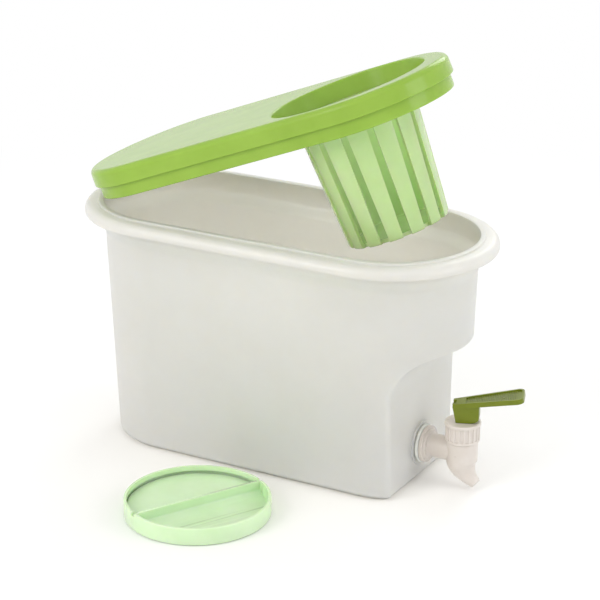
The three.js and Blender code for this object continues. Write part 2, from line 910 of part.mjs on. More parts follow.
// Lays a flat piece, drawn from above with its top at 0, along the arm.
function onArm(shape, thickness, top) {
  const drawn = { depth: thickness, bevelEnabled: false, curveSegments: plateSteps };
  const body = new THREE.ExtrudeGeometry(shape, drawn);
  body.translate(0, 0, top - thickness);
  body.rotateY(-THREE.MathUtils.degToRad(armRise));
  return solid(body).translate([0, 0, pinZ + armTop]);
}

function leverArm() {
  const lean = Math.cos(THREE.MathUtils.degToRad(armRise));
  const start = -leverBack / lean;
  const end = leverReach / lean;
  const whole = onArm(armOutline(start, end, leverWidth, armTipWidth, armTipRound), armThickness, 0);
  const widening = (armTipWidth - leverWidth) / (end - start);
  const trayRoot = leverWidth + widening * trayStart - 2 * trayBorder;
  const trayTip = armTipWidth - 2 * trayBorder;
  const tray = armOutline(start + trayStart, end - trayBorder, trayRoot, trayTip, armTipRound - trayBorder);
  return cut(whole, onArm(tray, trayDepth + overrun, overrun));
}

// The slot is open below and behind, and a plate closes it above the pin.
function makeLever() {
  const top = armTop + overrun;
  const foot = -pinHeight - overrun;
  const back = -leverBack - overrun;
  const fork = plate(polygon([
    [back, foot],
    [forkMouth, foot],
    [forkFront, 0],
    [forkFront, forkTop],
    [-forkNotch, forkTop],
    [-forkNotch, top],
    [back, top],
  ]), forkGap);
  const pinBore = crossPin(pinRadius + pinClearance, pinLength + 2 * pinClearance);
  return cut(joined(leverBlock(), leverArm()), fork, pinBore);
}

// Materials

function plastic(color, roughness, opacity = 1) {
  const transparent = opacity < 1;
  return new THREE.MeshStandardMaterial({ color, roughness, metalness: 0, opacity, transparent });
}

const milky = () => plastic(0xf1f4f0, 0.42, 0.55);
const leaf = () => plastic(0xb6e48c, 0.24);
const mint = () => plastic(0xb9ecb0, 0.34);
const white = () => plastic(0xf3f3f0, 0.36);
const olive = () => plastic(0x9db45a, 0.4);
const rubber = () => plastic(0xe9ebe8, 0.65);
const steel = () => new THREE.MeshStandardMaterial({ color: 0xb8bcc0, roughness: 0.3, metalness: 1 });

// Assembly

function named(name, shape, material) {
  const mesh = new THREE.Mesh(geometryOf(shape), material);
  mesh.name = name;
  return mesh;
}

// The lid and its basket are raised together, about a level line behind the tub's back end.
function raisedLid() {
  const veer = THREE.MathUtils.degToRad(lidVeer);
  const axis = new THREE.Vector3(Math.sin(veer), -Math.cos(veer), 0);
  const pivot = new THREE.Vector3(-Math.cos(veer), -Math.sin(veer), 0).multiplyScalar(pivotReach);
  pivot.x -= halfSpacing;
  pivot.z = lidBase - pivotDrop;
  const group = new THREE.Group();
  group.add(
    named("lid", makeLid(), leaf()),
    named("infuser_basket", makeBasket(), leaf()),
  );
  for (const mesh of group.children) {
    mesh.position.copy(pivot).negate();
  }
  group.position.copy(pivot);
  group.quaternion.setFromAxisAngle(axis, THREE.MathUtils.degToRad(lidTilt));
  return group;
}

function looseCover() {
  const cover = named("basket_cover", makeCover(), mint());
  cover.position.set(coverX, coverY, 0);
  cover.rotation.z = THREE.MathUtils.degToRad(coverTurn);
  return cover;
}

// The stem, its seal and spring, and the lever turn together about the valve's axis.
function turnedValve() {
  const group = new THREE.Group();
  group.add(
    named("valve_stem", makeStem(), white()),
    named("valve_seal", makeSeal(), rubber()),
    named("valve_spring", makeSpring(), steel()),
    named("lever", makeLever(), olive()),
  );
  group.position.x = valveX;
  group.rotation.z = THREE.MathUtils.degToRad(leverSwivel);
  return group;
}

const dispenser = new THREE.Group();
dispenser.name = "fridge_water_dispenser";
dispenser.add(
  named("tub", makeTub(), milky()),
  raisedLid(),
  looseCover(),
  named("tap_body", makeTapBody(), white()),
  named("outer_washer", makeOuterWasher(), rubber()),
  named("inner_washer", makeInnerWasher(), rubber()),
  named("lock_nut", makeLockNut(), white()),
  named("bonnet_nut", makeBonnetNut(), white()),
  turnedValve(),
);

export default dispenser;
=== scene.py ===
"""Looks of a slim fridge water dispenser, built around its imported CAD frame.

Sizes are written in millimetres and turned into metres where a mesh is made. Every piece is drawn
as it stands when the lid is shut and the lever points along +X, and is then turned to its place.
"""

import math

import bpy
import numpy as np
from mathutils import Matrix, Vector


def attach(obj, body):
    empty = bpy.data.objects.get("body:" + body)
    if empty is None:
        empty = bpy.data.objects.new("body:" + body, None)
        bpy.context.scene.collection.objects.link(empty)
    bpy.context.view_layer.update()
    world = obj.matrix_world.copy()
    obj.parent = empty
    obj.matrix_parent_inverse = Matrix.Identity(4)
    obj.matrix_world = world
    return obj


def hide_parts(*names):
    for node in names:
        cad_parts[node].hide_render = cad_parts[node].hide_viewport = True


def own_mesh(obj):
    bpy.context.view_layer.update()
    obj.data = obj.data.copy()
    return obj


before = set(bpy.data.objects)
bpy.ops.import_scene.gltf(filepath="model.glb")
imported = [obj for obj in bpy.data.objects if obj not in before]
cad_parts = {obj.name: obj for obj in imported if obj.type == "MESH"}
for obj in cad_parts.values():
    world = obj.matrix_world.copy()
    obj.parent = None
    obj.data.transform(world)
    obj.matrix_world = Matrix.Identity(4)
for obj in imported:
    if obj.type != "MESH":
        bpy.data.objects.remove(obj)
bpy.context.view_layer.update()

MM = 0.001
TAU = 2 * math.pi

# Sizes, as in the CAD source or a little inside it

SEAT_GAP = 0.3  # between a piece and what it rests on
OVERRUN = 1.0  # how far a cutter runs past what it cuts
CAP_RADIUS = 4.0  # of the flat faces that close a turned solid

HALF_SPACING = 79.0  # from the tub's middle to the centre of each round end
TUB_HEIGHT = 170.0
TUB_WALL = 2.4
BASE_RADIUS = 50.4
SHOULDER_RADIUS = 56.0
SHOULDER_HEIGHT = 147.0
TAPER = (SHOULDER_RADIUS - BASE_RADIUS) / SHOULDER_HEIGHT
NECK_HEIGHT = 157.0
NECK_FILLET = 1.2
FOOT_HEIGHT = 1.2
FOOT_BEVEL = 0.3
BASE_ROUND = 3.4
FLOOR_THICKNESS = 2.6
FLOOR_ROUND = BASE_ROUND - 0.3
MOUTH_RADIUS = 57.0
BRIM_RADIUS = 69.7
BRIM_THICKNESS = 2.2
BRIM_ROUND = 5.4
BRIM_DROP = 7.6  # from the brim's flat top to its lower edge
LIP_HEIGHT = 1.3  # the lip stands this far above the brim
LIP_WIDTH = 3.6
LIP_ROUND = 0.6
LIP_FILLET = 0.4
BRIM_TOP = TUB_HEIGHT - LIP_HEIGHT
TAP_FACE = 102.0
FACE_HEIGHT = 70.0  # where the flat face starts to curve out
FACE_CORNER = 4.5
PAD_RADIUS = 15.0
PAD_HEIGHT = 1.2
PAD_ROUND = 0.5

LID_TILT = 21.85  # degrees that the lid is raised
LID_VEER = math.radians(7.8)  # how far it leans to the near side of the tub's length
PIVOT_REACH = 75.6
PIVOT_DROP = 5.8
PLUG_RADIUS = MOUTH_RADIUS - 0.95
PLUG_BOTTOM = TUB_HEIGHT - 8.8
LID_WALL = 2.2
LID_RADIUS = 58.6
LID_DRAFT = 0.4
LID_ROUND = 4.0
LID_BASE = TUB_HEIGHT + SEAT_GAP
DECK_TOP = LID_BASE + 12.2
PIVOT = Vector((
    -HALF_SPACING - PIVOT_REACH * math.cos(LID_VEER),
    -PIVOT_REACH * math.sin(LID_VEER),
    LID_BASE - PIVOT_DROP,
))
SEAT_CENTRE = 68.6
SEAT_RADIUS = 49.5
SEAT_FLARE = 2.7  # the seat's wall leans out by this up to the deck
SEAT_ROUND = 1.2
WELL_ROUND = 1.1
LEDGE_TOP = DECK_TOP - 14.2
LEDGE_THICKNESS = 2.2
LEDGE_HOLE = 40.8

BASKET_TOP_RADIUS = 40.1
BASKET_BOTTOM_RADIUS = 34.3
BASKET_BOTTOM = PLUG_BOTTOM - 77.2
BASKET_WALL = 2.2
BASKET_FLOOR = 2.4
BASKET_ROUND = 1.6
FLANGE_RADIUS = SEAT_RADIUS - 0.7
FLANGE_BASE = LEDGE_TOP + SEAT_GAP
FLANGE_TOP = FLANGE_BASE + 2.0
SLOT_COUNT = 14
SLOT_WIDTH = 4.6  # at the top
SLOT_FOOT = 6.2  # width at the basket's floor
SLOT_TOP = PLUG_BOTTOM - 1
SLOT_BITE = 4.0  # how far the slots run in under the basket's floor

COVER_PLACE = Vector((0, -120, 0))
COVER_TURN = 61.5  # degrees from +X to the ridge
COVER_RADIUS = SEAT_RADIUS - 1.35
COVER_HEIGHT = 12.0
COVER_WALL = 1.9
COVER_ROUND = 1.1
COVER_INSIDE = COVER_RADIUS - COVER_WALL
COVER_SHEET = 2.0
PLATEAU = COVER_HEIGHT - 3.4
RIDGE_RADIUS = 2.1
RIDGE_DROP = 0.7
HOLLOW_LOW = COVER_HEIGHT - 9.6
HOLLOW_RISE = 6.4
HOLLOW_TOE = 11.0
TOE_CORNERS = ((0, 0.28, 2.0), (0.42, 0.06, 8.0))  # shares of the toe, along and up, and a round
NOTCH_WIDTH = 3.6
NOTCH_DEPTH = 2.2

TAP_HEIGHT = 25.4
VALVE_X = TAP_FACE + 30.5
SHANK_RADIUS = 7.6
SHANK_HOLE = SHANK_RADIUS + 0.4
SHANK_LENGTH = 12.4  # inside the tub
SHANK_BORE = 4.4
WASHER_RADIUS = 13.2
WASHER_THICKNESS = 2.2
INNER_FACE = TAP_FACE - TUB_WALL
PAD_FACE = TAP_FACE + PAD_HEIGHT
TAP_SEAT = PAD_FACE + 2 * SEAT_GAP + WASHER_THICKNESS
TAP_FLANGE_RADIUS = 12.6
TAP_FLANGE_THICKNESS = 2.4
STEP_RADIUS = 10.6
STEP_THICKNESS = 1.5
NECK_RADIUS = 8.0
LOCK_NUT_RADIUS = 13.0
LOCK_NUT_THICKNESS = 5.0
LOCK_NUT_FLAT = 11.4  # radius of its chamfered face
BARREL_RADIUS = 10.4
BARREL_BASE = 18.4
THREAD_RADIUS = 8.9
VALVE_BORE = 6.4
VALVE_SEAT = 17.0
VALVE_SEAT_HOLE = 3.4
SPOUT_REACH = 10.6
SPOUT_HEIGHT = 3.8
SPOUT_SHARES = ((0.14, 0.33, 0.74), (0.48, 0.68, 0.34))  # of the reach, drop and taper
OUTLET_RADIUS = 3.5
OUTLET_BORE = 2.4
OUTLET_SHARES = (0.81, 0.59)  # of a run past the outlet, forward and down

NUT_BASE = TAP_HEIGHT + NECK_RADIUS + SEAT_GAP
NUT_TOP = NUT_BASE + 13.9
NUT_UNDER = NUT_TOP - 2.4
NUT_RADIUS = 11.6
NUT_COLLAR_RADIUS = 12.2
NUT_COLLAR = 2.2  # smooth band above the ribs
NUT_RIM = 2.0  # smooth band below the ribs
NUT_RIBS = 20
NUT_RIB_HEIGHT = 0.7
ROD_HOLE = 2.4

SPIGOT_RADIUS = 1.5
ROD_RADIUS = 2.0
COLLAR_RADIUS = 4.6
COLLAR_THICKNESS = 1.6
SEAL_RADIUS = 5.3
SEAL_HOLE = 1.9
SEAL_THICKNESS = 3.0
SEAL_BASE = VALVE_SEAT + SEAT_GAP
COLLAR_BASE = SEAL_BASE + SEAL_THICKNESS + SEAT_GAP
SPRING_RADIUS = 3.6  # middle of the wire
SPRING_WIRE = 0.4  # radius of the wire

PIN_HEIGHT = 8.6  # lever's foot to the axis of the cross pin
PIN_RADIUS = 1.5
PIN_LENGTH = 7.4
PIN_Z = NUT_TOP + SEAT_GAP + PIN_HEIGHT
TANG_RADIUS = 3.0
TANG_THICKNESS = 3.4
TANG_DEPTH = 4.4
LEVER_SWIVEL = 20.0  # degrees
PRESS_ANGLE = 25  # degrees
LIFT_PER_RADIAN = 2.1 / math.radians(PRESS_ANGLE)
CHEEK_SHARE = 1.12  # the lever's foot is curved past a full press, by this much
BROW_SHARE = 0.7  # height of the front corner below the pin, of the foot's
LEVER_WIDTH = 10.4
LEVER_BACK = 6.8
LEVER_REAR = 4.4
LEVER_FRONT = 10.8
LEVER_REACH = 39.6
ARM_RISE = math.radians(10.5)
ARM_TOP = 5.6
ARM_THICKNESS = 3.4
ARM_TIP_WIDTH = 19.4
ARM_TIP_ROUND = 4.2
TRAY_BORDER = 1.5
TRAY_DEPTH = 0.9
TRAY_START = 8.4
FORK_GAP = 4.2
FORK_TOP = 3.5
FORK_FRONT = 3.6
FORK_MOUTH = 8.0
FORK_NOTCH = 4.6

# Counts of points along a ring of the tub or lid

BACK_STEPS = 80
SIDE_STEPS = 32
CORNER_STEPS = 12
CORNER_SHARE = 0.27  # of the quarter, that the corner's points take on a whole round end

# Drawing lines


def arc(x, z, radius, start, end, steps=8):
    """Points of a circle's arc, between two angles in degrees."""
    angles = np.radians(np.linspace(start, end, steps + 1))
    return [(x + radius * math.cos(a), z + radius * math.sin(a)) for a in angles]


SIDE_SHARE = 0.48  # of a side, the most that a round at either end may take


def soft(points, steps=5, looped=True):
    """Points written as (x, z) or (x, z, round). Each corner with a round becomes an arc."""
    line = []
    count = len(points)
    for i, point in enumerate(points):
        end = not looped and i in (0, count - 1)
        if len(point) < 3 or end:
            line.append(point[:2])
            continue
        here = Vector(point[:2])
        before = Vector(points[i - 1][:2]) - here
        after = Vector(points[(i + 1) % count][:2]) - here
        half = before.angle(after) / 2
        longest = SIDE_SHARE * min(before.length, after.length)
        reach = min(point[2] / math.tan(half), longest)
        radius = reach * math.tan(half)
        inward = (before.normalized() + after.normalized()).normalized()
        centre = here + inward * (radius / math.sin(half))
        first = here + before.normalized() * reach - centre
        last = here + after.normalized() * reach - centre
        start = math.atan2(first.y, first.x)
        turn = (math.atan2(last.y, last.x) - start + math.pi) % TAU - math.pi
        for k in range(steps + 1):
            angle = start + turn * k / steps
            line.append((centre.x + radius * math.cos(angle), centre.y + radius * math.sin(angle)))
    return line


def outline(radius, height, face=None, corner=0.0):
    """One ring of the tub or lid. Where face lies inside the tap end, the end is cut flat there."""
    quarter = math.pi / 2
    whole = face is None or face >= HALF_SPACING + radius
    round_off = radius if whole else corner
    corner_x = 0 if whole else face - corner - HALF_SPACING
    corner_y = 0 if whole else math.sqrt((radius - corner) ** 2 - corner_x**2)
    split = quarter * CORNER_SHARE if whole else math.atan2(corner_y, corner_x)
    ring = []

    def sweep(x, y, r, start, end, steps, first=0):
        for i in range(first, steps + 1):
            angle = start + (end - start) * i / steps
            ring.append((x + r * math.cos(angle), y + r * math.sin(angle), height))

    sweep(-HALF_SPACING, 0, radius, quarter, 3 * quarter, BACK_STEPS)
    sweep(HALF_SPACING, 0, radius, -quarter, -split, SIDE_STEPS)
    sweep(HALF_SPACING + corner_x, -corner_y, round_off, -split, 0, CORNER_STEPS, 1)
    sweep(HALF_SPACING + corner_x, corner_y, round_off, 0, split, CORNER_STEPS)
    sweep(HALF_SPACING, 0, radius, split, quarter, SIDE_STEPS, 1)
    return ring


# Making meshes


def mesh_object(name, points, faces):
    mesh = bpy.data.meshes.new(name)
    mesh.from_pydata([Vector(p) * MM for p in points], [], faces)
    mesh.update()
    made = bpy.data.objects.new(name, mesh)
    bpy.context.scene.collection.objects.link(made)
    return made


def loft(name, rings, looped=False):
    """A skin through rings of equal length. Unless it is looped, flat faces close its ends."""
    count = len(rings[0])
    points = [point for ring in rings for point in ring]
    faces = []
    spans = len(rings) if looped else len(rings) - 1
    for k in range(spans):
        low, high = k * count, ((k + 1) % len(rings)) * count
        for i in range(count):
            j = (i + 1) % count
            faces.append((low + i, low + j, high + j, high + i))
    if not looped:
        last = (len(rings) - 1) * count
        faces.append(tuple(reversed(range(count))))
        faces.append(tuple(range(last, last + count)))
    return mesh_object(name, points, faces)


def revolve(name, line, steps=96, looped=False):
    """A line of (radius, height) turned about +Z."""
    rings = []
    for radius, height in line:
        angles = [TAU * i / steps for i in range(steps)]
        rings.append([(radius * math.cos(a), radius * math.sin(a), height) for a in angles])
    return loft(name, rings, looped)


def prism(name, line, low, high):
    """A flat outline of (x, y), raised from one height to another."""
    return loft(name, [[(x, y, z) for x, y in line] for z in (low, high)])


def turned(made, matrix):
    made.data.transform(matrix)
    made.data.update()
    return made


def moved(made, x=0.0, y=0.0, z=0.0):
    return turned(made, Matrix.Translation(Vector((x, y, z)) * MM))


def rotated(made, degrees, axis):
    return turned(made, Matrix.Rotation(math.radians(degrees), 4, axis))


def along_tap(made):
    """Lays a piece drawn about +Z along the tap's shank."""
    return moved(rotated(made, 90, "Y"), z=TAP_HEIGHT)


def settle(made):
    """Applies what modifiers the piece has."""
    bpy.context.view_layer.update()
    graph = bpy.context.evaluated_depsgraph_get()
    mesh = bpy.data.meshes.new_from_object(made.evaluated_get(graph))
    made.modifiers.clear()
    made.data = mesh
    return made


def boolean(made, other, operation):
    step = made.modifiers.new("boolean", "BOOLEAN")
    step.operation = operation
    step.solver = "EXACT"
    step.object = other
    settle(made)
    bpy.data.objects.remove(other)
    return made


def cut(made, *others):
    for other in others:
        boolean(made, other, "DIFFERENCE")
    return made


def joined(made, *others):
    for other in others:
        boolean(made, other, "UNION")
    return made


BEVEL_FROM = 28  # degrees between two faces


def smooth(made, sharp, bevel=0.0, segments=3):
    """Rounds the sharp edges where a bevel is asked for, and shades the rest smooth."""
    if bevel:
        step = made.modifiers.new("bevel", "BEVEL")
        step.width = bevel * MM
        step.segments = segments
        step.limit_method = "ANGLE"
        step.angle_limit = math.radians(BEVEL_FROM)
        step.use_clamp_overlap = True
        settle(made)
    made.data.shade_smooth()
    made.data.set_sharp_from_angle(angle=math.radians(sharp))
    step = made.modifiers.new("normals", "WEIGHTED_NORMAL")
    step.keep_sharp = True
    step.weight = 60
    return settle(made)


# Materials


def node(tree, kind, **values):
    """A new node, with its settings and the values of its sockets given by name."""
    made = tree.nodes.new(kind)
    for name, value in values.items():
        if hasattr(made, name):
            setattr(made, name, value)
        else:
            made.inputs[name.replace("_", " ")].default_value = value
    return made


def noise(tree, scale, detail=3.0, rough=0.5):
    """A noise fixed to the piece. The scale is in cells per metre."""
    place = tree.nodes.get("Place") or node(tree, "ShaderNodeTexCoord", name="Place")
    made = node(tree, "ShaderNodeTexNoise", Scale=scale, Detail=detail, Roughness=rough)
    tree.links.new(place.outputs["Object"], made.inputs["Vector"])
    return made.outputs["Fac"]


def mapped(tree, source, near, far, low, high, **settings):
    made = node(tree, "ShaderNodeMapRange", **settings)
    for name, value in (("From Min", near), ("From Max", far), ("To Min", low), ("To Max", high)):
        made.inputs[name].default_value = value
    tree.links.new(source, made.inputs["Value"])
    return made.outputs["Result"]


def spread(tree, source, low, high):
    """Maps the middle of a noise to a range."""
    return mapped(tree, source, 0.3, 0.7, low, high)


def smooth_step(tree, source, near, far, low, high):
    return mapped(tree, source, near, far, low, high, interpolation_type="SMOOTHSTEP")


def tinted(tree, factor, light, dark):
    """A colour between two, by a factor."""
    made = node(tree, "ShaderNodeMix", data_type="RGBA")
    tree.links.new(factor, made.inputs[0])
    made.inputs[6].default_value = (*dark, 1)
    made.inputs[7].default_value = (*light, 1)
    return made.outputs[2]


def grain(tree, shader, layers, strength):
    """Layers of fine bump, each as (source, height in metres)."""
    normal = None
    for source, height in layers:
        made = node(tree, "ShaderNodeBump", Strength=strength, Distance=height)
        tree.links.new(source, made.inputs["Height"])
        if normal:
            tree.links.new(normal, made.inputs["Normal"])
        normal = made.outputs["Normal"]
    tree.links.new(normal, shader.inputs["Normal"])


def linear(hex_colour):
    """A colour as it is seen on a screen, in the shader's linear values."""
    channels = [int(hex_colour[i : i + 2], 16) / 255 for i in (0, 2, 4)]
    return tuple(c / 12.92 if c <= 0.04045 else ((c + 0.055) / 1.055) ** 2.4 for c in channels)


FLOW_HEIGHT = 0.00025  # metres, as the grain's
GRAIN_HEIGHT = 0.00001


def moulded(name, light, dark, rough, spot, fine=900.0, bump=0.15, **sockets):
    """Moulded plastic: slow drifts of tint and gloss, with flow marks and a fine grain."""
    made = bpy.data.materials.new(name)
    made.use_nodes = True
    tree = made.node_tree
    shader = tree.nodes["Principled BSDF"]
    drift = spread(tree, noise(tree, spot, detail=4.0, rough=0.55), 0, 1)
    tree.links.new(tinted(tree, drift, light, dark), shader.inputs["Base Color"])
    blotch = noise(tree, spot * 2.3, detail=5.0, rough=0.6)
    tree.links.new(spread(tree, blotch, rough * 0.9, rough * 1.12), shader.inputs["Roughness"])
    flow = noise(tree, spot * 0.6, detail=1.0)
    layers = [(flow, FLOW_HEIGHT), (noise(tree, fine, detail=2.0), GRAIN_HEIGHT)]
    grain(tree, shader, layers, bump)
    shader.inputs["Subsurface Scale"].default_value = 1.0
    for socket, value in sockets.items():
        shader.inputs[socket.replace("_", " ")].default_value = value
    return made


# How far light spreads under the surface, in metres of red, green and blue
MILKY_GLOW = (0.014, 0.013, 0.011)
GREEN_GLOW = (0.004, 0.006, 0.002)
WHITE_GLOW = (0.002, 0.002, 0.002)
OLIVE_GLOW = (0.002, 0.003, 0.001)

tub_plastic = moulded(
    "milky_polypropylene",
    linear("fefaef"),
    linear("faf5e9"),
    0.36,
    spot=28.0,
    Transmission_Weight=0.3,
    IOR=1.49,
    Subsurface_Weight=0.85,
    Subsurface_Radius=MILKY_GLOW,
)
lid_plastic = moulded(
    "leaf_green_plastic",
    linear("94b54a"),
    linear("8cad42"),
    0.2,
    spot=40.0,
    Subsurface_Weight=0.3,
    Subsurface_Radius=GREEN_GLOW,
    Specular_IOR_Level=0.2,
    Coat_Weight=0.06,
    Coat_Roughness=0.06,
)
basket_plastic = moulded(
    "basket_green_plastic",
    linear("d0eaab"),
    linear("c8e4a0"),
    0.24,
    spot=40.0,
    Transmission_Weight=0.3,
    Subsurface_Weight=0.8,
    Subsurface_Radius=GREEN_GLOW,
    Coat_Weight=0.5,
    Coat_Roughness=0.08,
)
cover_plastic = moulded(
    "mint_green_plastic",
    linear("d0eac3"),
    linear("c8e4b8"),
    0.24,
    spot=40.0,
    Subsurface_Weight=0.4,
    Subsurface_Radius=GREEN_GLOW,
    Coat_Weight=0.2,
    Coat_Roughness=0.1,
)
tap_plastic = moulded(
    "white_tap_plastic",
    linear("d8d1cb"),
    linear("d2cac2"),
    0.3,
    spot=90.0,
    fine=2200.0,
    Subsurface_Weight=0.15,
    Subsurface_Radius=WHITE_GLOW,
)
lever_plastic = moulded(
    "olive_lever_plastic",
    linear("717d18"),
    linear("697513"),
    0.3,
    spot=90.0,
    fine=2600.0,
    Specular_IOR_Level=0.35,
    Subsurface_Weight=0.15,
    Subsurface_Radius=OLIVE_GLOW,
)
rubber = moulded(
    "pale_rubber", linear("e6e8e4"), linear("d9dcd7"), 0.7, spot=240.0, fine=3200.0, bump=0.5
)
steel = moulded(
    "spring_wire",
    linear("c3c6c9"),
    linear("aab0b4"),
    0.28,
    spot=500.0,
    fine=5200.0,
    bump=0.25,
    Metallic=1.0,
)


def show(made, body, slot, material, *nodes):
    """Gives a piece its material, and puts it on its body in place of CAD nodes."""
    made.data.materials.clear()
    made.data.materials.append(material)
    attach(made, body)
    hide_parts(*nodes)
    return made


# Tub


def wall_radius(height):
    return BASE_RADIUS + TAPER * height


def tap_end_rings(depth, steps=18):
    """The flat face and the curve above it, for the outside or, with a depth, the inside."""
    overhang = (HALF_SPACING + wall_radius(FACE_HEIGHT) - TAP_FACE) / (1 - TAPER)
    sweep = overhang + depth
    last = math.acos(depth / sweep)
    rings = []
    for i in range(steps + 1):
        angle = last * i / steps
        height = FACE_HEIGHT + sweep * math.sin(angle)
        face = TAP_FACE + overhang - sweep * math.cos(angle)
        rings.append(outline(wall_radius(height) - depth, height, face, FACE_CORNER - depth))
    rings.append(outline(wall_radius(height) - depth, height))
    return rings


def neck_rings(depth, steps=12):
    """The soft step from the shoulder to the mouth."""
    rings = []
    for i in range(steps + 1):
        share = i / steps
        eased = share * share * (3 - 2 * share)
        radius = SHOULDER_RADIUS + (MOUTH_RADIUS + TUB_WALL - SHOULDER_RADIUS) * eased
        height = SHOULDER_HEIGHT + (NECK_HEIGHT - SHOULDER_HEIGHT) * share
        rings.append(outline(radius - depth, height))
    return rings


def base_rings():
    """The foot and the round corner above it."""
    line = [(BASE_ROUND + FOOT_BEVEL, 0), (BASE_ROUND, FOOT_BEVEL), (BASE_ROUND, FOOT_HEIGHT)]
    line += arc(BASE_ROUND, FOOT_HEIGHT + BASE_ROUND, BASE_ROUND, 270, 180)[1:]
    rings = []
    for inset, height in line:
        rings.append(outline(wall_radius(height) - inset, height, TAP_FACE - inset, FACE_CORNER))
    return rings


def brim_line():
    """From the neck out under the brim, round its turned-down edge, and over the lip."""
    curl = BRIM_RADIUS - BRIM_ROUND
    half = BRIM_THICKNESS / 2
    edge = BRIM_TOP - BRIM_DROP + half
    under = BRIM_TOP - BRIM_THICKNESS
    neck = MOUTH_RADIUS + TUB_WALL
    lip = MOUTH_RADIUS + LIP_WIDTH
    line = soft([(neck, NECK_HEIGHT), (neck, under, NECK_FILLET), (curl, under)], looped=False)
    line = line[1:-1]
    line += arc(curl, BRIM_TOP - BRIM_ROUND, BRIM_ROUND - BRIM_THICKNESS, 90, 0, 7)
    line += arc(BRIM_RADIUS - half, edge, half, 180, 360)
    line += arc(curl, BRIM_TOP - BRIM_ROUND, BRIM_ROUND, 0, 90, 10)
    line += arc(lip + LIP_FILLET, BRIM_TOP + LIP_FILLET, LIP_FILLET, 270, 180, 3)
    line += arc(lip - LIP_ROUND, TUB_HEIGHT - LIP_ROUND, LIP_ROUND, 0, 90, 4)
    line += arc(MOUTH_RADIUS + LIP_ROUND, TUB_HEIGHT - LIP_ROUND, LIP_ROUND, 90, 180, 4)
    return line


def floor_rings():
    """The round corner inside the tub, down to its floor."""
    floor = FOOT_HEIGHT + FLOOR_THICKNESS
    corner = FACE_CORNER - TUB_WALL
    rings = []
    for drawn, height in arc(FLOOR_ROUND, floor + FLOOR_ROUND, FLOOR_ROUND, 180, 270):
        inset = TUB_WALL + drawn
        rings.append(outline(wall_radius(height) - inset, height, TAP_FACE - inset, corner))
    return rings


def make_tub():
    rings = base_rings() + tap_end_rings(0) + neck_rings(0)
    rings += [outline(radius, height) for radius, height in brim_line()]
    rings += neck_rings(TUB_WALL)[::-1] + tap_end_rings(TUB_WALL)[::-1] + floor_rings()
    shell = loft("tub_shell", rings)
    inside = INNER_FACE + OVERRUN
    edge = arc(PAD_RADIUS - PAD_ROUND, PAD_FACE - PAD_ROUND, PAD_ROUND, 0, 90, 4)
    pad = revolve("pad", [(PAD_RADIUS - 1, inside), (PAD_RADIUS, inside), *edge])
    hole = revolve("hole", [(SHANK_HOLE, INNER_FACE - 3), (SHANK_HOLE, PAD_FACE + 3)], steps=64)
    return smooth(cut(joined(shell, along_tap(pad)), along_tap(hole)), sharp=32)


show(make_tub(), "tub_body", "tub_plastic", tub_plastic, "tub")

# Lid


def lid_line():
    """From the deck's underside, down the inside, round the plug and up the side to the deck."""
    inside = LID_RADIUS - LID_WALL
    plug_inside = PLUG_RADIUS - LID_WALL
    side = LID_RADIUS - LID_DRAFT
    inward = 9  # the first and last points only give their corners a direction
    line = [
        (inside - inward, DECK_TOP - LID_WALL),
        (inside, DECK_TOP - LID_WALL, 1.6),
        (inside, LID_BASE + LID_WALL, 0.8),
        (plug_inside, LID_BASE + LID_WALL, 0.8),
        (plug_inside, PLUG_BOTTOM, 0.5),
        (PLUG_RADIUS, PLUG_BOTTOM, 0.9),
        (PLUG_RADIUS, LID_BASE, 0.4),
        (LID_RADIUS, LID_BASE, 0.5),
        (side, DECK_TOP, LID_ROUND),
        (side - inward, DECK_TOP),
    ]
    return soft(line, steps=8, looped=False)[1:-1]


def seat_space():
    """The hole, the ledge and the flared wall of the seat, with a rounded edge on the deck."""
    mouth = SEAT_RADIUS + SEAT_FLARE
    line = [
        (LEDGE_HOLE, LEDGE_TOP - 5),
        (LEDGE_HOLE, LEDGE_TOP, 0.4),
        (SEAT_RADIUS, LEDGE_TOP, 0.8),
        (mouth, DECK_TOP - SEAT_ROUND),
    ]
    line = soft(line, looped=False)[:-1]
    line += arc(mouth + SEAT_ROUND, DECK_TOP - SEAT_ROUND, SEAT_ROUND, 180, 90)
    line.append((mouth + SEAT_ROUND, DECK_TOP + 2))
    return moved(revolve("seat_space", line, steps=192), x=SEAT_CENTRE)


def seat_well():
    """What hangs under the deck round the seat, before seat_space is cut from it."""
    outer = SEAT_RADIUS + LID_WALL
    bottom = LEDGE_TOP - LEDGE_THICKNESS
    top = DECK_TOP - LID_WALL / 2
    line = [
        (CAP_RADIUS, bottom),
        (outer, bottom, WELL_ROUND),
        (outer + SEAT_FLARE, top),
        (CAP_RADIUS, top),
    ]
    return moved(revolve("seat_well", soft(line, looped=False), steps=192), x=SEAT_CENTRE)


def raised(made):
    """Tips a piece of the lid up about a level line behind the tub's back end."""
    axis = Vector((math.sin(LID_VEER), -math.cos(LID_VEER), 0))
    there = Matrix.Translation(PIVOT * MM)
    return turned(made, there @ Matrix.Rotation(math.radians(LID_TILT), 4, axis) @ there.inverted())


def make_lid():
    tray = loft("lid_shell", [outline(radius, height) for radius, height in lid_line()])
    return raised(smooth(cut(joined(tray, seat_well()), seat_space()), sharp=32))


show(make_lid(), "lid_body", "lid_plastic", lid_plastic, "lid")

# Infuser basket


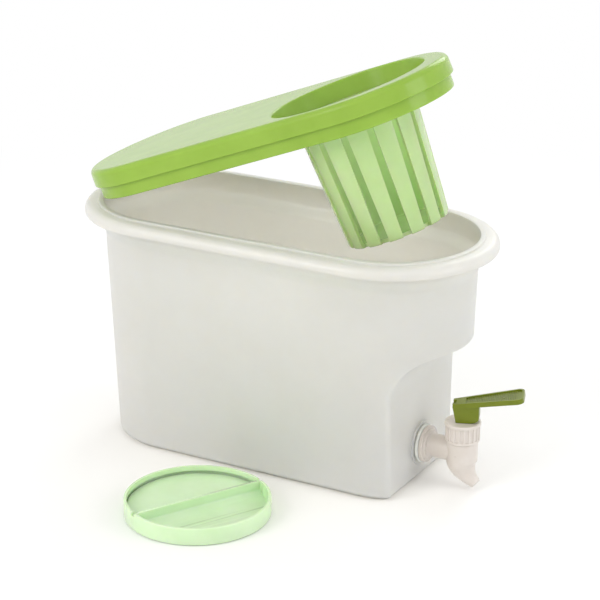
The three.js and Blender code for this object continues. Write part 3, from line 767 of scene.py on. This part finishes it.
def basket_cup():
    inside = BASKET_TOP_RADIUS - BASKET_WALL
    floor = BASKET_BOTTOM + BASKET_FLOOR
    low = BASKET_BOTTOM_RADIUS - BASKET_WALL
    line = [
        (BASKET_BOTTOM_RADIUS - 4, BASKET_BOTTOM),
        (BASKET_BOTTOM_RADIUS, BASKET_BOTTOM, BASKET_ROUND),
        (BASKET_TOP_RADIUS, FLANGE_BASE, 0.4),
        (FLANGE_RADIUS, FLANGE_BASE, 0.5),
        (FLANGE_RADIUS, FLANGE_TOP, 0.6),
        (inside, FLANGE_TOP, 0.7),
        (low, floor, 1.4),
        (low - 4, floor),
    ]
    return revolve("basket_shell", soft(line, looped=False), steps=192)


def basket_slot(index):
    half, foot = SLOT_WIDTH / 2, SLOT_FOOT / 2
    bottom = BASKET_BOTTOM - OVERRUN
    line = [(-foot, bottom), (foot, bottom), (half, SLOT_TOP, 0.5), (-half, SLOT_TOP, 0.5)]
    line = soft(line, steps=4)
    inner, outer = BASKET_BOTTOM_RADIUS - SLOT_BITE, BASKET_TOP_RADIUS + OVERRUN
    slot = loft("slot", [[(x, y, z) for x, z in line] for y in (outer, inner)])
    return rotated(slot, index * 360 / SLOT_COUNT - 90, "Z")


def make_basket():
    slots = [basket_slot(i) for i in range(SLOT_COUNT)]
    cup = cut(basket_cup(), *slots)
    return raised(moved(smooth(cup, sharp=34, bevel=0.22, segments=2), x=SEAT_CENTRE))


show(make_basket(), "basket_body", "basket_plastic", basket_plastic, "infuser_basket")

# Basket cover


def cover_bar(section, inside=COVER_INSIDE):
    """A bar along the ridge, drawn as (across, height) and ended by the wall."""
    ends = (-COVER_RADIUS - 2, COVER_RADIUS + 2)
    bar = loft("bar", [[(x, y, z) for y, z in section] for x in ends])
    round_end = revolve("end", [(inside, -4), (inside, COVER_HEIGHT + 4)], steps=160)
    return boolean(bar, round_end, "INTERSECT")


def hollow_line(lift, steps=14):
    """The finger hollow's floor, as (across, height), from the ridge to its toe and the wall."""
    low = HOLLOW_LOW + lift
    line = []
    for along, up, round_off in TOE_CORNERS:
        line.append((-RIDGE_RADIUS - HOLLOW_TOE * along, low + HOLLOW_TOE * up, round_off))
    for i in range(steps + 1):
        share = i / steps
        across = HOLLOW_TOE + (COVER_RADIUS + OVERRUN - HOLLOW_TOE) * share
        line.append((-across, low + HOLLOW_RISE * share**2))
    return line


def make_cover():
    beyond, above = COVER_RADIUS + OVERRUN, COVER_HEIGHT + OVERRUN
    line = [
        (COVER_RADIUS - 3, 0),
        (COVER_RADIUS, 0, COVER_ROUND),
        (COVER_RADIUS, COVER_HEIGHT, 0.7),
        (COVER_RADIUS - 3, COVER_HEIGHT),
    ]
    blank = revolve("cover_shell", soft(line, looped=False), steps=192)
    flat = cover_bar([(0, PLATEAU), (beyond, PLATEAU), (beyond, above), (0, above)])
    hollow = cover_bar(soft([*hollow_line(0), (-beyond, above), (-RIDGE_RADIUS, above)]))
    crest = COVER_HEIGHT - RIDGE_DROP - RIDGE_RADIUS
    shelf = PLATEAU - COVER_SHEET
    line = [
        (RIDGE_RADIUS, shelf),
        *arc(0, crest, RIDGE_RADIUS, 0, 180, 14),
        (-RIDGE_RADIUS, shelf),
    ]
    ridge = cover_bar(line, COVER_RADIUS - COVER_WALL / 2)
    low = -OVERRUN
    under_flat = cover_bar([(COVER_WALL, low), (beyond, low), (beyond, shelf), (COVER_WALL, shelf)])
    table = 0.05  # where the underside of the hollow meets the table
    under = [point[:2] for point in hollow_line(-COVER_SHEET)[2:] if point[1] > table]
    under_hollow = cover_bar([(under[0][0], low), *under, (-beyond, low)])
    half = NOTCH_WIDTH / 2
    line = [(-beyond, -half), (beyond, -half), (beyond, half), (-beyond, half)]
    notch = prism("notch", line, COVER_HEIGHT - NOTCH_DEPTH, COVER_HEIGHT + NOTCH_DEPTH)
    within = COVER_INSIDE - COVER_WALL
    keep = revolve("keep", [(within, 0), (within, 20)])
    made = joined(cut(blank, flat, hollow), ridge)
    made = cut(made, under_flat, under_hollow, cut(notch, keep))
    made = smooth(made, sharp=34, bevel=0.35)
    return moved(rotated(made, COVER_TURN, "Z"), *COVER_PLACE)


show(make_cover(), "cover_body", "cover_plastic", cover_plastic, "basket_cover")

# Tap


def tapered_tube(name, places, sides=64, steps=28):
    """A round tube on a smooth curve through places written as (x, z, radius)."""
    points = np.array(places, float)
    padded = np.vstack([2 * points[0] - points[1], points, 2 * points[-1] - points[-2]])
    rows = []
    for k in range(len(points) - 1):
        a, b, c, d = padded[k : k + 4]
        for t in np.linspace(0, 1, steps // (len(points) - 1), endpoint=False):
            square = 2 * a - 5 * b + 4 * c - d
            cube = 3 * b - a - 3 * c + d
            rows.append(0.5 * (2 * b + (c - a) * t + square * t**2 + cube * t**3))
    rows.append(points[-1])
    rings = []
    for k, (x, z, radius) in enumerate(rows):
        before, after = rows[max(k - 1, 0)], rows[min(k + 1, len(rows) - 1)]
        forward = Vector((after[0] - before[0], 0, after[1] - before[1])).normalized()
        side = Vector((0, 1, 0)).cross(forward)
        ring = []
        for i in range(sides):
            angle = TAU * i / sides
            offset = side * radius * math.cos(angle) + Vector((0, radius * math.sin(angle), 0))
            ring.append((x + offset.x, offset.y, z + offset.z))
        rings.append(ring)
    return loft(name, rings)


def spout_places(first, last, past=0.0):
    """Places along the spout, from a first radius to a last. A cutter runs past the outlet."""
    drop = BARREL_BASE - SPOUT_HEIGHT
    places = [(VALVE_X, BARREL_BASE, first)]
    for reach, fall, slim in SPOUT_SHARES:
        x, z = VALVE_X + SPOUT_REACH * reach, BARREL_BASE - drop * fall
        places.append((x, z, last + (first - last) * slim))
    forward, down = OUTLET_SHARES
    places.append((VALVE_X + SPOUT_REACH + past * forward, SPOUT_HEIGHT - past * down, last))
    return places


def make_tap():
    inner = INNER_FACE - SHANK_LENGTH
    flange = TAP_SEAT + TAP_FLANGE_THICKNESS
    step = flange + STEP_THICKNESS
    line = [
        (CAP_RADIUS, inner),
        (SHANK_RADIUS, inner, 0.6),
        (SHANK_RADIUS, TAP_SEAT),
        (TAP_FLANGE_RADIUS, TAP_SEAT, 0.3),
        (TAP_FLANGE_RADIUS, flange, 0.6),
        (STEP_RADIUS, flange, 0.4),
        (STEP_RADIUS, step, 0.6),
        (NECK_RADIUS, step, 1.6),
        (NECK_RADIUS, VALVE_X),
        (CAP_RADIUS, VALVE_X),
    ]
    stem = revolve("tap_shell", soft(line, looped=False))
    shoulder = NUT_BASE - SEAT_GAP
    barrel_top = NUT_UNDER - SEAT_GAP
    line = [
        (CAP_RADIUS, BARREL_BASE),
        (BARREL_RADIUS, BARREL_BASE, 1.8),
        (BARREL_RADIUS, shoulder, 0.6),
        (THREAD_RADIUS, shoulder),
        (THREAD_RADIUS, barrel_top),
        (CAP_RADIUS, barrel_top),
    ]
    barrel = revolve("barrel", soft(line, looped=False))
    spout_radius = BARREL_RADIUS - 0.05  # just inside the barrel, so that their skins don't meet
    start = (VALVE_X, BARREL_BASE + 5, spout_radius)
    spout = tapered_tube("spout", [start, *spout_places(spout_radius, OUTLET_RADIUS)])
    made = joined(along_tap(stem), moved(barrel, x=VALVE_X), spout)

    def bore(name, radius, low, high, steps):
        return revolve(name, [(radius, low), (radius, high)], steps)

    water = along_tap(bore("water", SHANK_BORE, inner - OVERRUN, VALVE_X, 48))
    chamber = bore("chamber", VALVE_BORE, VALVE_SEAT, NUT_UNDER + OVERRUN, 64)
    throat = bore("throat", VALVE_SEAT_HOLE, VALVE_SEAT - 2, VALVE_SEAT + OVERRUN, 48)
    drain = tapered_tube("drain", spout_places(VALVE_SEAT_HOLE, OUTLET_BORE, OVERRUN), sides=48)
    made = cut(made, water, moved(chamber, x=VALVE_X), moved(throat, x=VALVE_X), drain)
    return smooth(made, sharp=34, bevel=0.3)


show(make_tap(), "tub_body", "tap_plastic", tap_plastic, "tap_body")


def washer(name, low):
    high = low + WASHER_THICKNESS
    edge = 0.4 * WASHER_THICKNESS
    line = [
        (SHANK_HOLE, low, 0.3),
        (WASHER_RADIUS, low, edge),
        (WASHER_RADIUS, high, edge),
        (SHANK_HOLE, high, 0.3),
    ]
    return along_tap(smooth(revolve(name, soft(line), looped=True), sharp=50))


def make_lock_nut():
    high = INNER_FACE - WASHER_THICKNESS - 2 * SEAT_GAP
    low = high - LOCK_NUT_THICKNESS
    corners = [TAU * i / 6 for i in range(6)]
    hexagon = [(LOCK_NUT_RADIUS * math.cos(a), LOCK_NUT_RADIUS * math.sin(a)) for a in corners]
    nut = prism("lock_nut_shell", hexagon, low, high)
    outer = LOCK_NUT_RADIUS + 0.2
    chamfer = revolve("chamfer", [(LOCK_NUT_FLAT, low), (outer, low + 1), (outer, high)])
    hole = revolve("hole", [(SHANK_HOLE, low - OVERRUN), (SHANK_HOLE, high + OVERRUN)], steps=64)
    nut = cut(boolean(nut, chamfer, "INTERSECT"), hole)
    return along_tap(smooth(nut, sharp=20, bevel=0.15))


def make_bonnet_nut():
    inner = NUT_RADIUS - NUT_RIB_HEIGHT
    ribs_low, ribs_high = NUT_BASE + NUT_RIM, NUT_TOP - NUT_COLLAR
    line = [
        (CAP_RADIUS, NUT_BASE),
        (NUT_RADIUS, NUT_BASE, 0.8),
        (NUT_RADIUS, ribs_low, 0.3),
        (inner, ribs_low),
        (inner, ribs_high),
        (NUT_COLLAR_RADIUS, ribs_high, 0.3),
        (NUT_COLLAR_RADIUS, NUT_TOP, 0.9),
        (CAP_RADIUS, NUT_TOP),
    ]
    cap = revolve("bonnet_nut_shell", soft(line, looped=False), steps=120)
    sunk = 0.4  # how far the ribs reach into the cap and its two smooth bands
    groove = inner - sunk
    corners = (  # share of the pitch, radius and round
        (0, groove, 0.01),
        (0.44, groove, 0.01),
        (0.56, NUT_RADIUS, 0.35),
        (0.88, NUT_RADIUS, 0.35),
    )
    line = []
    for i in range(NUT_RIBS):
        for share, radius, round_off in corners:
            angle = TAU * (i + share) / NUT_RIBS
            line.append((radius * math.cos(angle), radius * math.sin(angle), round_off))
    ribs = prism("ribs", soft(line, steps=3), ribs_low - sunk, ribs_high + sunk)
    clear = THREAD_RADIUS + SEAT_GAP
    thread = revolve("thread", [(clear, NUT_BASE - OVERRUN), (clear, NUT_UNDER)])
    line = [(ROD_HOLE, NUT_UNDER - OVERRUN), (ROD_HOLE, NUT_TOP + OVERRUN)]
    made = cut(joined(cap, ribs), thread, revolve("hole", line, steps=48))
    return moved(smooth(made, sharp=34), x=VALVE_X)


outer_washer = washer("outer_washer_shell", PAD_FACE + SEAT_GAP)
inner_washer = washer("inner_washer_shell", INNER_FACE - SEAT_GAP - WASHER_THICKNESS)
show(outer_washer, "tub_body", "washer_rubber", rubber, "outer_washer")
show(inner_washer, "tub_body", "washer_rubber", rubber, "inner_washer")
show(make_lock_nut(), "tub_body", "nut_plastic", tap_plastic, "lock_nut")
show(make_bonnet_nut(), "tub_body", "nut_plastic", tap_plastic, "bonnet_nut")

# Valve and lever


def on_valve(made):
    return moved(rotated(made, LEVER_SWIVEL, "Z"), x=VALVE_X)


def plate(name, line, width):
    """A flat plate across Y, drawn as (x, z) from the cross pin's axis."""
    rings = [[(x, y, z) for x, z in line] for y in (width / 2, -width / 2)]
    return moved(loft(name, rings), z=PIN_Z)


def cross_pin(name, radius, length):
    pin = revolve(name, [(radius, -length / 2), (radius, length / 2)], steps=40)
    return moved(rotated(pin, 90, "X"), z=PIN_Z)


def make_stem():
    top = PIN_Z - 2.2
    collar_top = COLLAR_BASE + COLLAR_THICKNESS
    line = [
        (0.8, SEAL_BASE),
        (SPIGOT_RADIUS, SEAL_BASE, 0.2),
        (SPIGOT_RADIUS, COLLAR_BASE),
        (COLLAR_RADIUS, COLLAR_BASE, 0.3),
        (COLLAR_RADIUS, collar_top, 0.4),
        (ROD_RADIUS, collar_top),
        (ROD_RADIUS, top),
        (0.8, top),
    ]
    rod = revolve("valve_stem_shell", soft(line, looped=False), steps=48)
    foot = [(-TANG_RADIUS, -TANG_DEPTH), (TANG_RADIUS, -TANG_DEPTH)]
    tang = plate("tang", [*foot, *arc(0, 0, TANG_RADIUS, 0, 180, 20)], TANG_THICKNESS)
    made = joined(rod, tang, cross_pin("pin", PIN_RADIUS, PIN_LENGTH))
    return on_valve(smooth(made, sharp=34, bevel=0.15, segments=2))


def make_seal():
    top = SEAL_BASE + SEAL_THICKNESS
    line = [
        (SEAL_HOLE, SEAL_BASE),
        (SEAL_RADIUS, SEAL_BASE, 1.2),
        (SEAL_RADIUS, top, 0.3),
        (SEAL_HOLE, top),
    ]
    made = revolve("valve_seal_shell", soft(line), steps=64, looped=True)
    return on_valve(smooth(made, sharp=40))


def make_spring(turns=6, around=36, sides=12):
    low = COLLAR_BASE + COLLAR_THICKNESS + SEAT_GAP + SPRING_WIRE
    high = NUT_UNDER - SEAT_GAP - SPRING_WIRE
    pitch = (high - low) / turns
    rings = []
    for k in range(turns * around + 1):
        angle = TAU * k / around
        x, y = SPRING_RADIUS * math.cos(angle), SPRING_RADIUS * math.sin(angle)
        centre = Vector((x, y, low + pitch * k / around))
        outward = Vector((math.cos(angle), math.sin(angle), 0))
        forward = Vector((-y, x, pitch / TAU)).normalized()
        upward = forward.cross(outward)
        ring = []
        for i in range(sides):
            a = TAU * i / sides
            offset = (outward * math.cos(a) - upward * math.sin(a)) * SPRING_WIRE * 0.98
            ring.append(tuple(centre + offset))
        rings.append(ring)
    return on_valve(smooth(loft("valve_spring_shell", rings), sharp=60))


def foot_line(steps=18):
    """The lever's foot: past the flat, the involute that lifts the pin in step with its angle."""
    last = math.radians(PRESS_ANGLE * CHEEK_SHARE)
    line = []
    for i in range(steps + 1):
        angle = last * i / steps
        drop = PIN_HEIGHT + LIFT_PER_RADIAN * angle
        x = drop * math.sin(angle) + LIFT_PER_RADIAN * math.cos(angle)
        z = LIFT_PER_RADIAN * math.sin(angle) - drop * math.cos(angle)
        line.append((x, z))
    return line


def arm_line(start, end, root, tip, round_off):
    """The arm from above, as wide as root and tip at its ends, with a rounded tip."""
    line = [(start, -root / 2)]
    line += arc(end - round_off, -tip / 2 + round_off, round_off, 270, 360, 10)
    line += arc(end - round_off, tip / 2 - round_off, round_off, 0, 90, 10)
    return line + [(start, root / 2)]


def on_arm(made):
    return moved(rotated(made, -math.degrees(ARM_RISE), "Y"), z=PIN_Z + ARM_TOP)


def tray_ribs(start, end, widening, pitch=1.15, thick=0.5, high=0.42):
    """Fine ribs across the tray, each as long as the tray is wide there."""
    first, last = start + TRAY_START + 1.2, end - TRAY_BORDER - 2.6
    base, top = -TRAY_DEPTH - 0.05, -TRAY_DEPTH + high
    across = ((0, base), (thick, base), (thick * 0.75, top), (thick * 0.25, top))
    points, faces = [], []
    for i in range(int((last - first) / pitch)):
        x = first + pitch * i
        half = (LEVER_WIDTH + widening * (x - start)) / 2 - TRAY_BORDER - 0.35
        at = len(points)
        for y in (-half, half):
            points += [(x + along, y, z) for along, z in across]
        faces += [(at, at + 1, at + 2, at + 3), (at + 7, at + 6, at + 5, at + 4)]
        for k in range(4):
            after = (k + 1) % 4
            faces.append((at + k, at + 4 + k, at + 4 + after, at + after))
    return on_arm(mesh_object("tray_ribs", points, faces))


def make_lever():
    def block_top(x):
        return ARM_TOP + x * math.tan(ARM_RISE) - ARM_THICKNESS / 2

    line = [
        (-LEVER_REAR, -PIN_HEIGHT),
        *foot_line(),
        (LEVER_FRONT, -PIN_HEIGHT * BROW_SHARE),
        (LEVER_FRONT, block_top(LEVER_FRONT)),
        (-LEVER_BACK, block_top(-LEVER_BACK)),
    ]
    block = plate("lever_shell", line, LEVER_WIDTH)
    lean = math.cos(ARM_RISE)
    start, end = -LEVER_BACK / lean, LEVER_REACH / lean
    widening = (ARM_TIP_WIDTH - LEVER_WIDTH) / (end - start)
    line = arm_line(start, end, LEVER_WIDTH, ARM_TIP_WIDTH, ARM_TIP_ROUND)
    arm = on_arm(prism("arm", line, -ARM_THICKNESS, 0))
    line = arm_line(
        start + TRAY_START,
        end - TRAY_BORDER,
        LEVER_WIDTH + widening * TRAY_START - 2 * TRAY_BORDER,
        ARM_TIP_WIDTH - 2 * TRAY_BORDER,
        ARM_TIP_ROUND - TRAY_BORDER,
    )
    tray = on_arm(prism("tray", line, -TRAY_DEPTH, 2))
    back, foot, above = -LEVER_BACK - OVERRUN, -PIN_HEIGHT - OVERRUN, ARM_TOP + OVERRUN
    line = [
        (back, foot),
        (FORK_MOUTH, foot),
        (FORK_FRONT, 0),
        (FORK_FRONT, FORK_TOP),
        (-FORK_NOTCH, FORK_TOP),
        (-FORK_NOTCH, above),
        (back, above),
    ]
    fork = plate("fork", line, FORK_GAP)
    pin_hole = cross_pin("bore", PIN_RADIUS + 0.3, 8)
    made = smooth(cut(joined(block, arm), tray, fork, pin_hole), sharp=34, bevel=0.3)
    return on_valve(made), on_valve(tray_ribs(start, end, widening))


show(make_stem(), "stem_body", "valve_plastic", tap_plastic, "valve_stem")
show(make_seal(), "stem_body", "seal_rubber", rubber, "valve_seal")
spring = show(make_spring(), "valve_body", "spring_steel", steel, "valve_spring")
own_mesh(spring)
lever, lever_ribs = make_lever()
show(lever, "lever_body", "lever_plastic", lever_plastic, "lever")
lever_ribs.data.materials.append(lever_plastic)
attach(lever_ribs, "lever_body")

# Floor, light and camera


def looked_at(tree):
    """1 where the camera, a reflection or plastic shows the background, 0 where it gives light."""
    path = node(tree, "ShaderNodeLightPath")
    total = path.outputs["Is Camera Ray"]
    for kind in ("Is Glossy Ray", "Is Transmission Ray"):
        both = node(tree, "ShaderNodeMath", operation="MAXIMUM")
        tree.links.new(total, both.inputs[0])
        tree.links.new(path.outputs[kind], both.inputs[1])
        total = both.outputs["Value"]
    return total


def mixed(tree, factor, first, second, output):
    """Sends a mix of two shaders to the tree's output."""
    mix = node(tree, "ShaderNodeMixShader")
    tree.links.new(factor, mix.inputs[0])
    tree.links.new(first.outputs[0], mix.inputs[1])
    tree.links.new(second.outputs[0], mix.inputs[2])
    tree.links.new(mix.outputs[0], tree.nodes[output].inputs["Surface"])


def floor_material(near=0.22, far=0.75):
    """White paper that keeps the shadow near the object, and fades to plain white away from it."""
    made = bpy.data.materials.new("pale_floor")
    made.use_nodes = True
    tree = made.node_tree
    paper = tree.nodes["Principled BSDF"]
    paper.inputs["Roughness"].default_value = 0.9
    paper.inputs["Specular IOR Level"].default_value = 0.1
    mottle = spread(tree, noise(tree, 6.0), 0, 1)
    tint = tinted(tree, mottle, (0.93, 0.93, 0.925), (0.91, 0.91, 0.905))
    tree.links.new(tint, paper.inputs["Base Color"])
    away = node(tree, "ShaderNodeVectorMath", operation="LENGTH")
    tree.links.new(tree.nodes["Place"].outputs["Object"], away.inputs[0])
    fade = smooth_step(tree, away.outputs["Value"], near, far, 0, 1)
    share = node(tree, "ShaderNodeMath", operation="MULTIPLY")
    tree.links.new(fade, share.inputs[0])
    tree.links.new(looked_at(tree), share.inputs[1])
    white = node(tree, "ShaderNodeEmission")
    mixed(tree, share.outputs["Value"], paper, white, "Material Output")
    return made


FLOOR_REACH = 6000
FLOOR_DROP = -0.3
floor_corners = [
    (-FLOOR_REACH, -FLOOR_REACH, FLOOR_DROP),
    (FLOOR_REACH, -FLOOR_REACH, FLOOR_DROP),
    (FLOOR_REACH, FLOOR_REACH, FLOOR_DROP),
    (-FLOOR_REACH, FLOOR_REACH, FLOOR_DROP),
]
floor = mesh_object("floor", floor_corners, [(0, 1, 2, 3)])
floor.data.materials.append(floor_material())


def set_world(low, high, bright_side=(0.85, 0.1, 0.4)):
    """White where it is looked at. As a light, it rises from low to high round the tap's end."""
    world = bpy.data.worlds.new("studio")
    bpy.context.scene.world = world
    world.use_nodes = True
    tree = world.node_tree
    turn = node(tree, "ShaderNodeVectorMath", operation="DOT_PRODUCT")
    turn.inputs[1].default_value = Vector(bright_side).normalized()
    place = node(tree, "ShaderNodeTexCoord")
    tree.links.new(place.outputs["Generated"], turn.inputs[0])
    light = tree.nodes["Background"]
    light.inputs["Color"].default_value = (1, 1, 1, 1)
    level = smooth_step(tree, turn.outputs["Value"], -0.7, 0.9, low, high)
    tree.links.new(level, light.inputs["Strength"])
    white = node(tree, "ShaderNodeBackground", Color=(1, 1, 1, 1))
    mixed(tree, looked_at(tree), light, white, "World Output")


MIDDLE = Vector((0.02, -0.02, 0.13))  # of the object


def lamp(name, place, size, power, colour=(1, 1, 1)):
    """A round soft lamp that points at the object."""
    data = bpy.data.lights.new(name, "AREA")
    data.shape = "DISK"
    data.size = size
    data.energy = power
    data.color = colour
    made = bpy.data.objects.new(name, data)
    made.location = place
    aim = MIDDLE - Vector(place)
    made.rotation_euler = aim.to_track_quat("-Z", "Y").to_euler()
    bpy.context.scene.collection.objects.link(made)


set_world(low=0.75, high=1.0)
lamp("key", (1.3, 0.15, 0.7), size=0.7, power=3.5)
lamp("back", (-0.1, 1.3, 0.9), size=0.8, power=4.4)
lamp("fill", (-0.6, -1.3, 0.8), size=1.0, power=8.6, colour=(1.0, 0.97, 0.93))

PICTURE = 600  # pixels across the photograph's frame
PICTURE_AXIS = (288.24, 332.07)  # the pixel that the lens points at
FOCAL_LENGTH = 2278.23  # pixels
SENSOR = 36
CAMERA_ANGLES = (29.733, 21.598, -0.282)  # azimuth, elevation and roll
CAMERA_TARGET = Vector((0, 0, 0.085))
CAMERA_DISTANCE = 1.55108


def set_camera():
    """The photograph's camera: where it stands, its long lens, and how the picture is framed."""
    azimuth, elevation, roll = (math.radians(a) for a in CAMERA_ANGLES)
    back = Vector((
        math.sin(azimuth) * math.cos(elevation),
        -math.cos(azimuth) * math.cos(elevation),
        math.sin(elevation),
    ))
    level = Vector((math.cos(azimuth), math.sin(azimuth), 0))
    upright = back.cross(level)
    right = level * math.cos(roll) + upright * math.sin(roll)
    up = upright * math.cos(roll) - level * math.sin(roll)
    data = bpy.data.cameras.new("camera")
    data.sensor_width = SENSOR
    data.lens = SENSOR * FOCAL_LENGTH / PICTURE
    data.shift_x = (PICTURE / 2 - PICTURE_AXIS[0]) / PICTURE
    data.shift_y = (PICTURE_AXIS[1] - PICTURE / 2) / PICTURE
    data.clip_start, data.clip_end = 0.05, 40
    made = bpy.data.objects.new("camera", data)
    turn = Matrix((right, up, back)).transposed().to_4x4()
    made.matrix_world = Matrix.Translation(CAMERA_TARGET + back * CAMERA_DISTANCE) @ turn
    bpy.context.scene.collection.objects.link(made)
    bpy.context.scene.camera = made


set_camera()
bpy.context.scene.view_settings.view_transform = "Standard"
